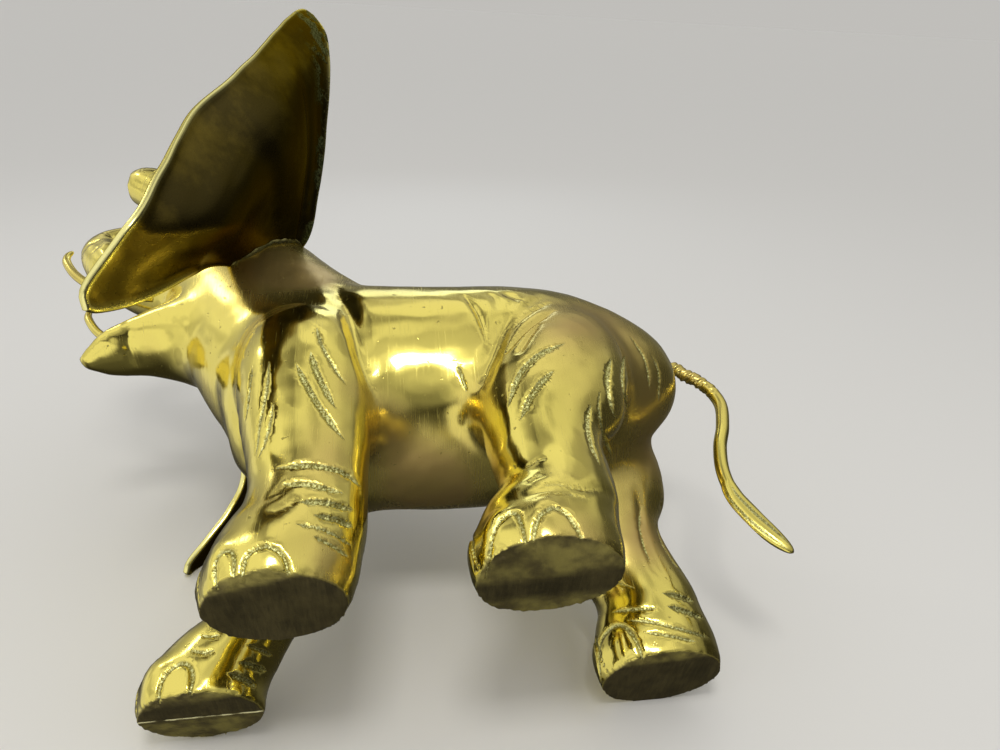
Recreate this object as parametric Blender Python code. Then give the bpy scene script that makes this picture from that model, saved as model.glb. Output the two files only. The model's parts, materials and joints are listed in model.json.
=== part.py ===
# A brass casting of a walking elephant with a raised trunk, spread ears and a brazed-on tail.
# Metres, +Z up. The tail is towards +Y and the elephant's left side towards +X.
# It stands on its four flat soles at Z = 0, with its origin under the middle of its bounding box.

import bmesh
import bpy
import numpy as np

# Driving dimensions
MODULE = 0.052              # length of a fore sole; the free form is given in shares of it
EAR_THICKNESS = 0.0034      # the cast sheet of an ear
TAIL_DIAMETER = 0.0062      # the rod of the tail
TUFT_WIDTH = 0.0108         # the leaf-shaped end of the tail
TUFT_THICKNESS = 0.0052
TUSK_DIAMETER = 0.0052      # at the root of a tusk
TUSK_TIP_DIAMETER = 0.0034
BRAZE_GAP = 0.0003          # clearance in a brazed joint

# From here to the functions every length is in modules.
# Soles: sideways places, places along the body, and how far a leg leans back to its hip
FORE_STANCE = (0.788, 0.74)         # sideways, at the sole and at the shoulder
HIND_STANCE = (0.885, 0.72)         # sideways, at the sole and at the hip
FORE_LEFT_SOLE = -1.039
FORE_RIGHT_SOLE = -1.811
HIND_LEFT_SOLE = 0.839
HIND_RIGHT_SOLE = 2.04
FORE_LEFT_LEAN = 0.0
FORE_RIGHT_LEAN = -0.77
HIND_LEFT_LEAN = 0.0
HIND_RIGHT_LEAN = 0.60
FORE_LEAN_HEIGHTS = (0.05, 1.75)    # a leg leans between these heights
HIND_LEAN_HEIGHTS = (0.20, 2.20)
FORE_BEND, HIND_BEND = 1.0, 0.0     # from a straight slant to a full bend at both ends
FORE_RIGHT_SLIMMED = (0.10, 0.27)   # taken off the front and back of this leg, fully above its heel
HEEL_HEIGHT = 0.85

# A leg: height, front and back edges from the sole's middle, half width
BELOW_SOLE = -0.16                  # the legs run on below the soles, and are then cut flat
FORE_LEG = [
    (BELOW_SOLE, -0.50, 0.49, 0.43), (0.0, -0.51, 0.50, 0.44), (0.20, -0.525, 0.55, 0.455),
    (0.42, -0.46, 0.60, 0.445), (0.67, -0.34, 0.635, 0.41), (0.95, -0.29, 0.64, 0.39),
    (1.15, -0.30, 0.64, 0.40), (1.45, -0.36, 0.66, 0.44), (1.85, -0.45, 0.70, 0.49),
    (2.30, -0.52, 0.75, 0.52), (2.75, -0.48, 0.66, 0.44), (3.10, -0.20, 0.40, 0.26)]
HIND_LEG = [
    (BELOW_SOLE, -0.53, 0.53, 0.45), (0.0, -0.54, 0.545, 0.462), (0.13, -0.53, 0.59, 0.47),
    (0.38, -0.45, 0.64, 0.46), (0.55, -0.35, 0.66, 0.44), (0.72, -0.19, 0.68, 0.42),
    (0.95, -0.13, 0.68, 0.40), (1.20, -0.17, 0.69, 0.42), (1.45, -0.24, 0.77, 0.46),
    (1.77, -0.31, 0.98, 0.50), (2.24, -0.15, 1.18, 0.51), (2.65, 0.12, 1.15, 0.42),
    (3.00, 0.42, 0.90, 0.22)]

# Toenails: bearings round the foot from the front, outwards, and one nail's half sizes
NAIL_BEARINGS = (88, 45, 0, -45)
NAIL_SIZE = (0.15, 0.06, 0.21)      # across, outwards and upwards
NAIL_HEIGHT = 0.20                  # of its middle
NAIL_SHAPE = (10, 14)               # rings and points of its bulge
FORE_FOOT = (0.49, 0.43)            # half length and half width of the foot at that height
HIND_FOOT = (0.50, 0.445)

# Swept forms: x, y and z of the axis, half width along X, half depth across the axis
TORSO = [
    (0, -1.80, 2.55, 0.40, 0.45), (0, -1.60, 2.60, 0.72, 0.83), (0, -1.22, 2.72, 1.00, 1.11),
    (0, -0.80, 2.78, 1.09, 1.16), (0, -0.20, 2.75, 1.12, 1.13), (0, 0.40, 2.71, 1.13, 1.12),
    (0, 1.00, 2.72, 1.12, 1.10), (0, 1.50, 2.76, 1.04, 1.01), (0, 1.95, 2.77, 0.88, 0.85),
    (0, 2.30, 2.79, 0.70, 0.67), (0, 2.58, 2.81, 0.48, 0.45), (0, 2.74, 2.83, 0.22, 0.22)]
NECK = [
    (0, -0.70, 2.78, 0.98, 1.03), (0, -1.07, 3.30, 0.94, 1.06), (0, -1.36, 3.73, 0.88, 1.00),
    (0, -1.61, 4.17, 0.81, 0.93), (0, -1.84, 4.60, 0.76, 0.85), (0, -2.02, 5.00, 0.66, 0.70),
    (0, -2.13, 5.35, 0.44, 0.46), (0, -2.16, 5.50, 0.22, 0.24)]
JAW = [
    (0, -1.60, 3.80, 0.66, 0.66), (0, -2.05, 3.74, 0.62, 0.57), (0, -2.45, 3.71, 0.50, 0.33),
    (0, -2.80, 3.65, 0.38, 0.19), (0, -3.08, 3.55, 0.25, 0.12), (0, -3.33, 3.44, 0.07, 0.05)]
TRUNK = [
    (0, -1.95, 4.70, 0.66, 0.70), (0, -2.50, 4.74, 0.55, 0.54), (0, -2.95, 4.85, 0.45, 0.41),
    (0, -3.28, 5.05, 0.37, 0.33), (0, -3.47, 5.31, 0.32, 0.29), (0, -3.40, 5.46, 0.29, 0.26),
    (0, -3.13, 5.51, 0.27, 0.24), (0, -2.92, 5.72, 0.26, 0.24), (0, -2.88, 6.10, 0.26, 0.24),
    (0, -2.95, 6.46, 0.28, 0.27), (0, -3.10, 6.73, 0.30, 0.29), (0, -3.31, 6.86, 0.29, 0.26),
    (0, -3.49, 6.91, 0.22, 0.18)]

# The left ear's four edges, each from the head outwards or from below upwards
EAR_ROOT = [(0.30, -1.78, 4.62), (0.28, -1.50, 4.74)]
EAR_LOWER = [
    (0.30, -1.78, 4.62), (0.50, -1.74, 4.33), (0.80, -1.81, 3.96), (1.10, -1.88, 3.53),
    (1.42, -1.89, 2.97), (1.52, -2.03, 2.63), (1.60, -2.22, 2.33), (1.70, -2.40, 2.12),
    (1.80, -2.45, 2.03)]
EAR_RIM = [
    (1.80, -2.45, 2.03), (1.96, -2.44, 2.12), (2.20, -2.19, 2.40), (2.30, -2.07, 2.60),
    (2.39, -1.97, 3.14), (2.47, -1.84, 3.95), (2.50, -1.63, 4.45), (2.50, -1.43, 5.10),
    (2.44, -1.20, 6.20), (2.35, -1.07, 6.80), (2.22, -0.95, 6.98)]
EAR_UPPER = [
    (0.28, -1.50, 4.74), (0.50, -1.12, 4.81), (0.95, -0.97, 5.18), (1.45, -0.86, 5.64),
    (1.75, -0.82, 5.89), (2.00, -0.79, 6.25), (2.15, -0.84, 6.69), (2.22, -0.95, 6.98)]
EAR_HOLLOW = 0.12                   # how far the sheet bows backwards between its edges
EAR_GRID = (12, 18)                 # faces outwards and faces upwards

TAIL = [
    (0, 2.45, 3.18), (0, 2.80, 3.03), (0, 2.97, 2.88), (0, 3.13, 2.70), (0, 3.20, 2.44),
    (0, 3.12, 2.13), (0, 3.00, 1.86), (0, 2.925, 1.56), (0, 2.93, 1.28), (0, 3.01, 1.05),
    (0, 3.12, 0.82), (0, 3.25, 0.61)]
TUFT_START = 0.72                   # share of the tail's length where the tuft begins
TUSK = [
    (0.35, -2.66, 4.05), (0.37, -3.02, 4.08), (0.39, -3.29, 4.22), (0.40, -3.49, 4.40),
    (0.40, -3.63, 4.62), (0.40, -3.66, 4.75), (0.39, -3.63, 4.86)]

# How finely the forms are cut
RING_POINTS = 40
ROD_POINTS = 10
STEPS_PER_SPAN = 4
VOXEL = 0.056
SMOOTHING_ROUNDS = 8
BODY_TRIANGLES = 6300
SOFTEST_ANGLE = np.radians(50)      # sharper edges than this stay crisp


def smooth_rows(rows, steps=STEPS_PER_SPAN):
    """Carry every column of the rows through a smooth curve, with so many steps to a span."""
    rows = np.array(rows, float)
    padded = np.vstack([2 * rows[0] - rows[1], rows, 2 * rows[-1] - rows[-2]])
    before, start, end, after = padded[:-3], padded[1:-2], padded[2:-1], padded[3:]
    spans = []
    for t in np.arange(steps) / steps:
        spans.append(0.5 * (2 * start + (end - before) * t
                            + (2 * before - 5 * start + 4 * end - after) * t ** 2
                            + (3 * start - before - 3 * end + after) * t ** 3))
    curve = np.stack(spans, axis=1).reshape(-1, rows.shape[1])
    return np.vstack([curve, rows[-1]])


def sweep(rows, ring_points=RING_POINTS):
    """Rings of points for an oval carried along a path that turns about the X axis."""
    rows = np.asarray(rows, float)
    along = np.gradient(rows[:, :3], axis=0)
    along /= np.linalg.norm(along, axis=1, keepdims=True)
    across = np.cross(along, (1.0, 0.0, 0.0))
    across /= np.linalg.norm(across, axis=1, keepdims=True)
    turn = np.linspace(0, 2 * np.pi, ring_points, endpoint=False)[None, :, None]
    sideways = np.array((1.0, 0.0, 0.0)) * rows[:, None, 3:4]
    return rows[:, None, :3] + np.cos(turn) * sideways + np.sin(turn) * across[:, None] * rows[:, None, 4:5]


def leg(profile, side, stance, sole, lean, slimmed, lean_heights, bend):
    """A leg as swept rows: the profile stands over its sole and leans back and in to its hip."""
    rows = []
    track, hip_track = stance
    low, high = lean_heights
    for height, front, back, half_width in profile:
        rise = min(max((height - low) / (high - low), 0.0), 1.0)
        rise += bend * (rise * rise * (3 - 2 * rise) - rise)
        thinning = min(max(height / HEEL_HEIGHT, 0.0), 1.0)
        front, back = front + slimmed[0] * thinning, back - slimmed[1] * thinning
        sideways = track + (hip_track - track) * rise
        middle = sole + (front + back) / 2 - lean * rise
        rows.append((side * sideways, middle, height, half_width, (back - front) / 2))
    return rows


def nails(side, track, sole, foot):
    """Rounded bulges round the front and the outer side of a foot."""
    rows, columns = NAIL_SHAPE
    half_length, half_width = foot
    tilt = np.linspace(0.1, np.pi - 0.1, rows)[:, None]
    turn = np.linspace(0, 2 * np.pi, columns, endpoint=False)[None]
    bulge = [np.sin(tilt) * np.cos(turn), np.sin(tilt) * np.sin(turn), np.cos(tilt) + 0 * turn]
    across, outwards, upwards = (half * share for half, share in zip(NAIL_SIZE, bulge))
    forms = []
    for bearing in np.radians(NAIL_BEARINGS):
        x = half_width * np.sin(bearing) + across * np.cos(bearing) + outwards * np.sin(bearing)
        y = half_length * np.cos(bearing) - across * np.sin(bearing) + outwards * np.cos(bearing)
        forms.append(np.stack([side * (track + x), sole - y, NAIL_HEIGHT + upwards], axis=-1))
    return forms


def skin(mesh_data, rings):
    """Close rings of points into one solid, with a fan over each end."""
    count, points = rings.shape[:2]
    verts = [[mesh_data.verts.new(point) for point in ring] for ring in rings * MODULE]
    for i in range(count - 1):
        for j in range(points):
            k = (j + 1) % points
            mesh_data.faces.new((verts[i][j], verts[i + 1][j], verts[i + 1][k], verts[i][k]))
    for ring in (verts[0], verts[-1]):
        middle = mesh_data.verts.new(sum((v.co for v in ring), start=ring[0].co * 0) / points)
        for j in range(points):
            mesh_data.faces.new((ring[j], ring[(j + 1) % points], middle))


def brass(name, colour, roughness):
    material = bpy.data.materials.new(name)
    material.use_nodes = True
    shader = material.node_tree.nodes["Principled BSDF"]
    shader.inputs["Base Color"].default_value = (*colour, 1.0)
    shader.inputs["Metallic"].default_value = 1.0
    shader.inputs["Roughness"].default_value = roughness
    material.diffuse_color = (*colour, 1.0)
    return material


def add_object(name, mesh_data, material=None):
    """Turn a bmesh into a smooth-shaded object whose faces point outwards."""
    bmesh.ops.recalc_face_normals(mesh_data, faces=mesh_data.faces)
    mesh = bpy.data.meshes.new(name)
    mesh_data.to_mesh(mesh)
    mesh_data.free()
    mesh.shade_smooth()
    mesh.set_sharp_from_angle(angle=SOFTEST_ANGLE)
    piece = bpy.data.objects.new(name, mesh)
    bpy.context.scene.collection.objects.link(piece)
    if material:
        mesh.materials.append(material)
    return piece


def settled(piece):
    """The piece's mesh with its modifiers worked in, as a bmesh; the piece itself goes."""
    bpy.context.view_layer.update()
    shown = piece.evaluated_get(bpy.context.evaluated_depsgraph_get())
    mesh_data = bmesh.new()
    mesh_data.from_mesh(shown.to_mesh())
    shown.to_mesh_clear()
    bpy.data.objects.remove(piece)
    return mesh_data


def thin_out(piece, triangles):
    """Leave the piece about so many triangles, fewer where it is flat."""
    now = sum(len(face.vertices) - 2 for face in piece.data.polygons)
    fewer = piece.modifiers.new("fewer faces", "DECIMATE")
    fewer.ratio = min(1.0, triangles / now)


def cut_soles(mesh_data):
    """Cut the legs off flat at the ground and close the cuts."""
    everything = mesh_data.verts[:] + mesh_data.edges[:] + mesh_data.faces[:]
    cut = bmesh.ops.bisect_plane(mesh_data, geom=everything, plane_co=(0, 0, 0),
                                 plane_no=(0, 0, -1), clear_outer=True)
    rim = [item for item in cut["geom_cut"] if isinstance(item, bmesh.types.BMEdge)]
    bmesh.ops.holes_fill(mesh_data, edges=rim)
    bmesh.ops.triangulate(mesh_data, faces=mesh_data.faces)


def build_body(material):
    """Torso, neck, jaw, trunk and legs, melted together as the casting is."""
    melt = bmesh.new()
    for form in (TORSO, NECK, JAW, TRUNK):
        skin(melt, sweep(smooth_rows(form)))
    fore = (FORE_LEG, FORE_STANCE, FORE_LEAN_HEIGHTS, FORE_BEND, FORE_FOOT)
    hind = (HIND_LEG, HIND_STANCE, HIND_LEAN_HEIGHTS, HIND_BEND, HIND_FOOT)
    for limb, side, sole, lean, slimmed in ((fore, 1, FORE_LEFT_SOLE, FORE_LEFT_LEAN, (0.0, 0.0)),
                                            (fore, -1, FORE_RIGHT_SOLE, FORE_RIGHT_LEAN, FORE_RIGHT_SLIMMED),
                                            (hind, 1, HIND_LEFT_SOLE, HIND_LEFT_LEAN, (0.0, 0.0)),
                                            (hind, -1, HIND_RIGHT_SOLE, HIND_RIGHT_LEAN, (0.0, 0.0))):
        profile, stance, lean_heights, bend, foot = limb
        rows = leg(profile, side, stance, sole, lean, slimmed, lean_heights, bend)
        skin(melt, sweep(smooth_rows(rows)))
        for bulge in nails(side, stance[0], sole, foot):
            skin(melt, bulge)
    rough = add_object("rough form", melt)
    remesh = rough.modifiers.new("melt together", "REMESH")
    remesh.mode = "VOXEL"
    remesh.voxel_size = VOXEL * MODULE
    relax = rough.modifiers.new("soften", "SMOOTH")
    relax.factor = 0.5
    relax.iterations = SMOOTHING_ROUNDS
    dense = add_object("dense form", settled(rough))
    thin_out(dense, BODY_TRIANGLES)
    form = settled(dense)
    cut_soles(form)
    return add_object("body", form, material)


def braze_cutter(body):
    """The body grown by the joint's clearance, which shapes the root of each brazed piece."""
    grown = bmesh.new()
    grown.from_mesh(body.data)
    grown.normal_update()
    for vert in grown.verts:
        vert.co += vert.normal * BRAZE_GAP
    cutter = add_object("braze clearance", grown)
    cutter.hide_render = True
    cutter.display_type = "WIRE"
    return cutter


def braze_on(piece, cutter):
    joint = piece.modifiers.new("brazed joint", "BOOLEAN")
    joint.operation = "DIFFERENCE"
    joint.object = cutter


def even_curve(rows, count):
    """Points at equal steps along a smooth curve through the rows."""
    curve = smooth_rows(rows, 16)
    travelled = np.concatenate([[0], np.cumsum(np.linalg.norm(np.diff(curve, axis=0), axis=1))])
    places = np.linspace(0, travelled[-1], count)
    return np.stack([np.interp(places, travelled, column) for column in curve.T], axis=1)


def ear_sheet():
    """A patch that fills the ear's four edges, bowed backwards in the middle."""
    outwards, upwards = EAR_GRID
    u = np.linspace(0, 1, outwards + 1)[:, None, None]
    v = np.linspace(0, 1, upwards + 1)[None, :, None]
    lower, upper = even_curve(EAR_LOWER, outwards + 1)[:, None], even_curve(EAR_UPPER, outwards + 1)[:, None]
    root, rim = even_curve(EAR_ROOT, upwards + 1)[None], even_curve(EAR_RIM, upwards + 1)[None]
    corners = ((1 - u) * (1 - v) * root[:, :1] + (1 - u) * v * root[:, -1:]
               + u * (1 - v) * rim[:, :1] + u * v * rim[:, -1:])
    patch = (1 - v) * lower + v * upper + (1 - u) * root + u * rim - corners
    bow = EAR_HOLLOW * np.sin(np.pi * u) * np.sin(np.pi * v)
    return patch + bow * np.array((0.0, 1.0, 0.0))


def build_ear(name, side, material, cutter):
    """A cast sheet of even thickness, mirrored for the right side."""
    patch = ear_sheet() * MODULE * np.array((side, 1, 1))
    sheet = bmesh.new()
    verts = [[sheet.verts.new(point) for point in row] for row in patch]
    for i in range(len(verts) - 1):
        for j in range(len(verts[0]) - 1):
            sheet.faces.new((verts[i][j], verts[i + 1][j], verts[i + 1][j + 1], verts[i][j + 1]))
    ear = add_object(name, sheet, material)
    wall = ear.modifiers.new("cast sheet", "SOLIDIFY")
    wall.thickness = EAR_THICKNESS
    wall.offset = 0
    braze_on(ear, cutter)
    return ear


def build_tail(material, cutter):
    """A round rod that flattens into a pointed leaf."""
    path = even_curve(TAIL, 45)
    share = np.linspace(0, 1, len(path))
    leaf = np.clip((share - TUFT_START) / (1 - TUFT_START), 0, 1)
    swell = np.sin(np.pi * leaf ** 0.8) ** 0.8
    taper = np.where(leaf > 0.5, 1 - 0.85 * ((leaf - 0.5) / 0.5) ** 2, 1)
    half_rod = TAIL_DIAMETER / 2 / MODULE
    depth = (half_rod + (TUFT_WIDTH / 2 / MODULE - half_rod) * swell) * taper
    width = (half_rod + (TUFT_THICKNESS / 2 / MODULE - half_rod) * swell) * taper
    rod = bmesh.new()
    skin(rod, sweep(np.column_stack([path, width, depth]), ROD_POINTS))
    tail = add_object("tail", rod, material)
    braze_on(tail, cutter)
    return tail


def build_tusk(name, side, material, cutter):
    """A round horn that tapers to its tip."""
    path = even_curve(TUSK, 16) * np.array((side, 1, 1))
    share = np.linspace(0, 1, len(path))
    radius = (TUSK_DIAMETER + (TUSK_TIP_DIAMETER - TUSK_DIAMETER) * share ** 2) / 2 / MODULE
    horn = bmesh.new()
    skin(horn, sweep(np.column_stack([path, radius, radius]), ROD_POINTS))
    tusk = add_object(name, horn, material)
    braze_on(tusk, cutter)
    return tusk


def stand_on_origin(pieces, cutter):
    """Move every mesh so that the middle of the pieces' box lies over the origin."""
    bpy.context.view_layer.update()
    graph = bpy.context.evaluated_depsgraph_get()
    corners = np.array([corner[:] for piece in pieces for corner in piece.evaluated_get(graph).bound_box])
    middle = (corners.min(axis=0) + corners.max(axis=0)) / 2
    for piece in pieces + [cutter]:
        for vert in piece.data.vertices:
            vert.co.y -= middle[1]


def main():
    for old in list(bpy.data.objects):
        bpy.data.objects.remove(old)
    polished = brass("polished brass", (0.62, 0.42, 0.12), 0.24)
    dark = brass("darkened brass", (0.25, 0.16, 0.05), 0.34)
    body = build_body(polished)
    cutter = braze_cutter(body)
    pieces = [body, build_tail(polished, cutter),
              build_ear("left_ear", 1, dark, cutter), build_ear("right_ear", -1, dark, cutter),
              build_tusk("left_tusk", 1, polished, cutter), build_tusk("right_tusk", -1, polished, cutter)]
    stand_on_origin(pieces, cutter)


main()
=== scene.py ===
import json
import math

import bpy
import numpy as np
from mathutils import Euler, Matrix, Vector
from mathutils.bvhtree import BVHTree

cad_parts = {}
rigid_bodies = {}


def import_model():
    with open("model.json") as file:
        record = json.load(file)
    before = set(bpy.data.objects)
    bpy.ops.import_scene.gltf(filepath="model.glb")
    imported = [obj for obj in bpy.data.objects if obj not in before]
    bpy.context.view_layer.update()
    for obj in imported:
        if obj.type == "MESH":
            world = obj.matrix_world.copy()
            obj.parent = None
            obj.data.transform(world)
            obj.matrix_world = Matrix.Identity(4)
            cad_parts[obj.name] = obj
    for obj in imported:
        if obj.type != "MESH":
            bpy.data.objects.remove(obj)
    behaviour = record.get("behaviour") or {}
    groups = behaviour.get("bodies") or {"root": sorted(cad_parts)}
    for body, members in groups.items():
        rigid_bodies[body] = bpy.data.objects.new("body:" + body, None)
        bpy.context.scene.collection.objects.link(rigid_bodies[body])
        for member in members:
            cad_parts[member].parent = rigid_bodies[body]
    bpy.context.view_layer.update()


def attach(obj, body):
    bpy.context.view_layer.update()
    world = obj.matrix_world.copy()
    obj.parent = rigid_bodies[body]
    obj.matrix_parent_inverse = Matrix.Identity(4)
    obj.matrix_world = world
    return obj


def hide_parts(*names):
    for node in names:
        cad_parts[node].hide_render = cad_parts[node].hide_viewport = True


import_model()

# Lengths of the free form are in modules. A module is the length of a fore sole.
unit = 0.052
millimetre = 0.001 / unit
alongShift = 0.01297      # metres along Y, from the free form's own place to the CAD's

photoCamera = {
    "place": (5.7117, -0.1985, -2.8881),      # modules, from under the elephant's left side
    "turn": (135.8508, 7.3468, 86.1526),      # degrees
    "lens": 28.204,
    "frameSize": (1000, 750),
}


def smoothRows(rows, steps):
    # Each column runs through its rows on a Catmull-Rom curve, with so many steps between rows
    rows = np.array(rows, float)
    padded = np.vstack([2 * rows[0] - rows[1], rows, 2 * rows[-1] - rows[-2]])
    before, start, end, after = padded[:-3, None], padded[1:-2, None], padded[2:-1, None], padded[3:, None]
    t = (np.arange(steps) / steps)[None, :, None]
    curve = 0.5 * (2 * start + (end - before) * t + (2 * before - 5 * start + 4 * end - after) * t ** 2
                   + (3 * start - before - 3 * end + after) * t ** 3)
    return np.vstack([curve.reshape(-1, rows.shape[1]), rows[-1]])


def evenRows(rows, count):
    # The same curve, cut into equal lengths
    curve = smoothRows(rows, 24)
    travelled = np.concatenate([[0], np.cumsum(np.linalg.norm(np.diff(curve[:, :3], axis=0), axis=1))])
    places = np.linspace(0, travelled[-1], count)
    return np.stack([np.interp(places, travelled, column) for column in curve.T], axis=1)


def ovalRings(rows, points, swell=None):
    # Ring(i, a) = path(i) + cos(a) * width(i) along X + sin(a) * depth(i) across the path, times swell(i, a)
    along = np.gradient(rows[:, :3], axis=0)
    along /= np.linalg.norm(along, axis=1, keepdims=True)
    across = np.cross(along, (1.0, 0.0, 0.0))
    across /= np.linalg.norm(across, axis=1, keepdims=True)
    angle = np.linspace(0, 2 * np.pi, points, endpoint=False)[None, :, None]
    swell = 1.0 if swell is None else swell[:, :, None]
    sideways = np.array((1.0, 0.0, 0.0)) * rows[:, None, 3:4]
    return rows[:, None, :3] + swell * (np.cos(angle) * sideways
                                        + np.sin(angle) * across[:, None] * rows[:, None, 4:5])


def closedRings(rings):
    # Quads between neighbouring rings, and a fan of triangles from a pole at each end
    count, points = rings.shape[:2]
    index = np.arange(count * points).reshape(count, points)
    nextAround = np.roll(index, -1, axis=1)
    quads = np.stack([index[:-1], nextAround[:-1], nextAround[1:], index[1:]], axis=-1).reshape(-1, 4)
    poles = np.stack([rings[0].mean(axis=0), rings[-1].mean(axis=0)])
    low = np.stack([nextAround[0], index[0], np.full(points, count * points)], axis=-1)
    high = np.stack([index[-1], nextAround[-1], np.full(points, count * points + 1)], axis=-1)
    triangles = np.concatenate([quads[:, [0, 1, 2]], quads[:, [0, 2, 3]], low, high])
    return np.vstack([rings.reshape(-1, 3), poles]), triangles


def joinedShells(shells):
    # One vertex and one triangle array out of several closed shells
    starts = np.cumsum([0] + [len(verts) for verts, _ in shells[:-1]])
    return (np.vstack([verts for verts, _ in shells]),
            np.vstack([triangles + start for (_, triangles), start in zip(shells, starts)]))


def outward(verts, triangles):
    # Turned round where the enclosed volume comes out negative
    a, b, c = (verts[triangles[:, k]] for k in range(3))
    volume = np.einsum("ij,ij->", a, np.cross(b, c))
    return triangles if volume > 0 else triangles[:, ::-1]


def surfaceNormals(verts, triangles):
    # Each vertex's normal is the sum of its triangles' area vectors, made one long
    a, b, c = (verts[triangles[:, k]] for k in range(3))
    area = np.cross(b - a, c - a)
    total = np.stack([sum(np.bincount(triangles[:, k], weights=area[:, axis], minlength=len(verts))
                          for k in range(3)) for axis in range(3)], axis=1)
    return total / np.maximum(np.linalg.norm(total, axis=1, keepdims=True), 1e-12)


def edgePairs(triangles, count):
    # Every edge once, with each triangle's three edges as indices into that list
    ends = np.sort(np.concatenate([triangles[:, [0, 1]], triangles[:, [1, 2]], triangles[:, [2, 0]]]), axis=1)
    keys, index = np.unique(ends[:, 0].astype(np.int64) * count + ends[:, 1], return_inverse=True)
    return np.stack([keys // count, keys % count], axis=1), index.reshape(3, -1).T


def neighbourMean(verts, pairs):
    # The mean of the vertices that share an edge with each vertex
    count = len(verts)
    first, second = pairs[:, 0], pairs[:, 1]
    degree = np.bincount(first, minlength=count) + np.bincount(second, minlength=count)
    total = np.stack([np.bincount(first, weights=verts[second, axis], minlength=count)
                      + np.bincount(second, weights=verts[first, axis], minlength=count)
                      for axis in range(verts.shape[1])], axis=1)
    return total / np.maximum(degree, 1)[:, None]


def refined(verts, triangles, marked):
    # Every edge between two marked vertices is halved. A triangle with 3 halved edges becomes 4 triangles,
    # with 2 it becomes 3, and with 1 it becomes 2
    pairs, index = edgePairs(triangles, len(verts))
    halved = marked[pairs].all(axis=1)
    middle = np.full(len(pairs), -1)
    middle[halved] = len(verts) + np.arange(halved.sum())
    newVerts = np.vstack([verts, verts[pairs[halved]].mean(axis=1)])
    middles = middle[index]
    cuts = (middles >= 0).sum(axis=1)
    parts = [triangles[cuts == 0]]
    corner, mid = triangles[cuts == 3], middles[cuts == 3]
    for trio in ((corner[:, 0], mid[:, 0], mid[:, 2]), (mid[:, 0], corner[:, 1], mid[:, 1]),
                 (mid[:, 2], mid[:, 1], corner[:, 2]), (mid[:, 0], mid[:, 1], mid[:, 2])):
        parts.append(np.stack(trio, axis=1))
    for wanted in (1, 2):
        chosen = cuts == wanted
        shift = (np.argmax(middles[chosen] >= 0, axis=1) if wanted == 1
                 else (np.argmax(middles[chosen] < 0, axis=1) + 1) % 3)
        order = (shift[:, None] + np.arange(3)) % 3
        corner = np.take_along_axis(triangles[chosen], order, axis=1)
        mid = np.take_along_axis(middles[chosen], order, axis=1)
        if wanted == 1:
            trios = ((corner[:, 0], mid[:, 0], corner[:, 2]), (mid[:, 0], corner[:, 1], corner[:, 2]))
        else:
            trios = ((corner[:, 0], mid[:, 0], corner[:, 2]), (mid[:, 0], mid[:, 1], corner[:, 2]),
                     (mid[:, 0], corner[:, 1], mid[:, 1]))
        parts.extend(np.stack(trio, axis=1) for trio in trios)
    return newVerts, np.vstack(parts), marked[pairs[halved]].all(axis=1)


def ripples(points, wavelength, seed, waves=14):
    # A sum of sine waves in fixed random directions: sum of sin(k . p + phase) / sqrt(waves)
    random = np.random.default_rng(seed)
    directions = random.normal(size=(waves, 3))
    directions /= np.linalg.norm(directions, axis=1, keepdims=True)
    pitch = 2 * np.pi / (wavelength * random.uniform(0.7, 1.5, waves))
    phases = random.uniform(0, 2 * np.pi, waves)
    return np.sin(points @ (directions * pitch[:, None]).T + phases).sum(axis=1) / math.sqrt(waves)


def makePiece(name, verts, triangles, material, marks=None):
    # A smooth-shaded mesh in metres; each mark becomes a number on every vertex
    triangles = outward(verts, triangles)
    mesh = bpy.data.meshes.new(name)
    mesh.vertices.add(len(verts))
    mesh.vertices.foreach_set("co", (verts * unit + (0.0, alongShift, 0.0)).ravel())
    mesh.loops.add(3 * len(triangles))
    mesh.loops.foreach_set("vertex_index", triangles.ravel().astype(np.int32))
    mesh.polygons.add(len(triangles))
    mesh.polygons.foreach_set("loop_start", np.arange(0, 3 * len(triangles), 3, dtype=np.int32))
    mesh.update(calc_edges=True)
    mesh.shade_smooth()
    for label, values in (marks or {}).items():
        layer = mesh.attributes.new(label, "FLOAT", "POINT")
        layer.data.foreach_set("value", values.astype(np.float32))
    mesh.materials.append(material)
    piece = bpy.data.objects.new(name, mesh)
    bpy.context.scene.collection.objects.link(piece)
    return piece


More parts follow.
